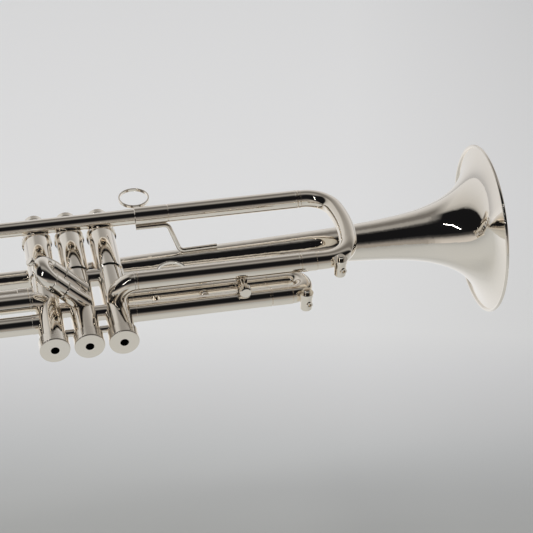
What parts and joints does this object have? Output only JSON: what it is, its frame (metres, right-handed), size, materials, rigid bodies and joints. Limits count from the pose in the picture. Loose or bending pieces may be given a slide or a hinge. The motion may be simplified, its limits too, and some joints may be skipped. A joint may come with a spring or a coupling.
{
  "type": "trumpet",
  "caption": "Silver-plated trumpet with piston valves, tuning slides, push-button water keys and finger rings, held level on its left side.",
  "frame": {"origin": "on the second valve's axis, in the middle of the casing length that the left hand grips", "axes": "+X along the bell towards its rim, +Y along the valves from the bottom caps to the finger buttons, +Z to the player's right"},
  "size_m": [0.5478, 0.1657, 0.125],
  "materials": {
    "silver": "polished silver plate on brass",
    "silver_satin": "machined silver plate",
    "piston_metal": "nickel alloy, lapped",
    "steel_wire": "spring wire",
    "pearl": "pearl inlay",
    "felt": "felt"
  },
  "bodies": {
    "instrument": {"bell_bow": "silver", "bell_flare": "silver", "bell_tail": "silver", "bottom_caps": "silver_satin", "casing_ties": "silver", "first_slide_sleeves": "silver", "fixed_ferrules": "silver", "leadpipe": "silver", "leadpipe_braces": "silver", "lyre_holder": "silver", "main_slide_sleeves": "silver", "mouthpiece_receiver": "silver", "pinky_ring": "silver", "post_braces": "silver", "second_slide_sleeves": "silver", "spring_1": "steel_wire", "spring_2": "steel_wire", "spring_3": "steel_wire", "third_slide_ring": "silver", "third_slide_sleeves": "silver", "top_caps": "silver_satin", "valve_casing_1": "silver", "valve_casing_2": "silver", "valve_casing_3": "silver", "valve_guides": "piston_metal", "valve_knuckles": "silver"},
    "valve_1": {"piston_1": "piston_metal", "button_1": "silver", "pearl_1": "pearl", "felt_1": "felt"},
    "valve_2": {"piston_2": "piston_metal", "button_2": "silver", "pearl_2": "pearl", "felt_2": "felt"},
    "valve_3": {"piston_3": "piston_metal", "button_3": "silver", "pearl_3": "pearl", "felt_3": "felt"},
    "main_slide": {"main_slide_tubes": "piston_metal", "main_slide_ferrules": "silver", "main_slide_bow": "silver", "water_key_barrel_main": "silver", "water_key_spring_main": "steel_wire"},
    "water_key_main": {"water_key_plunger_main": "piston_metal"},
    "first_slide": {"first_slide_tubes": "piston_metal", "first_slide_ferrules": "silver", "first_slide_bow": "silver", "first_slide_saddle": "silver"},
    "second_slide": {"second_slide_tubes": "piston_metal", "second_slide_ferrules": "silver", "second_slide_bow": "silver", "second_slide_knob": "silver_satin"},
    "third_slide": {"third_slide_tubes": "piston_metal", "third_slide_ferrules": "silver", "third_slide_bow": "silver", "water_key_barrel_third": "silver", "water_key_spring_third": "steel_wire"},
    "water_key_third": {"water_key_plunger_third": "piston_metal"},
    "lyre_screw": {"lyre_screw": "silver_satin"},
    "mouthpiece": {"mouthpiece": "silver"}
  },
  "joints": [
    {"name": "valve_1_press", "type": "slide", "parent": "instrument", "child": "valve_1", "axis": [0, -1, 0], "range_m": [0, 0.0165], "stiffness_N_per_m": 60, "springref_m": -0.03, "deforming": ["spring_1"]},
    {"name": "valve_2_press", "type": "slide", "parent": "instrument", "child": "valve_2", "axis": [0, -1, 0], "range_m": [0, 0.0165], "stiffness_N_per_m": 60, "springref_m": -0.03, "deforming": ["spring_2"]},
    {"name": "valve_3_press", "type": "slide", "parent": "instrument", "child": "valve_3", "axis": [0, -1, 0], "range_m": [0, 0.0165], "stiffness_N_per_m": 60, "springref_m": -0.03, "deforming": ["spring_3"]},
    {"name": "main_slide_pull", "type": "slide", "parent": "instrument", "child": "main_slide", "axis": [1, 0, 0], "range_m": [0, 0.06]},
    {"name": "first_slide_pull", "type": "slide", "parent": "instrument", "child": "first_slide", "axis": [-1, 0, 0], "range_m": [0, 0.03]},
    {"name": "second_slide_pull", "type": "slide", "parent": "instrument", "child": "second_slide", "axis": [-0.6947, 0, 0.7193], "range_m": [0, 0.009]},
    {"name": "third_slide_pull", "type": "slide", "parent": "instrument", "child": "third_slide", "axis": [1, 0, 0], "range_m": [0, 0.06]},
    {"name": "water_key_main_press", "type": "slide", "parent": "main_slide", "child": "water_key_main", "axis": [0, 0, -1], "range_m": [0, 0.0025], "stiffness_N_per_m": 400, "springref_m": -0.004, "deforming": ["water_key_spring_main"]},
    {"name": "water_key_third_press", "type": "slide", "parent": "third_slide", "child": "water_key_third", "axis": [0, 0, -1], "range_m": [0, 0.0025], "stiffness_N_per_m": 400, "springref_m": -0.004, "deforming": ["water_key_spring_third"]},
    {"name": "lyre_screw_turn", "type": "hinge", "parent": "instrument", "child": "lyre_screw", "pos_m": [0.1096, -0.02055, 0.0109], "axis": [0, -1, 0], "continuous": true},
    {"name": "mouthpiece_pull", "type": "slide", "parent": "instrument", "child": "mouthpiece", "axis": [-1, 0, 0], "range_m": [0, 0.03]}
  ]
}
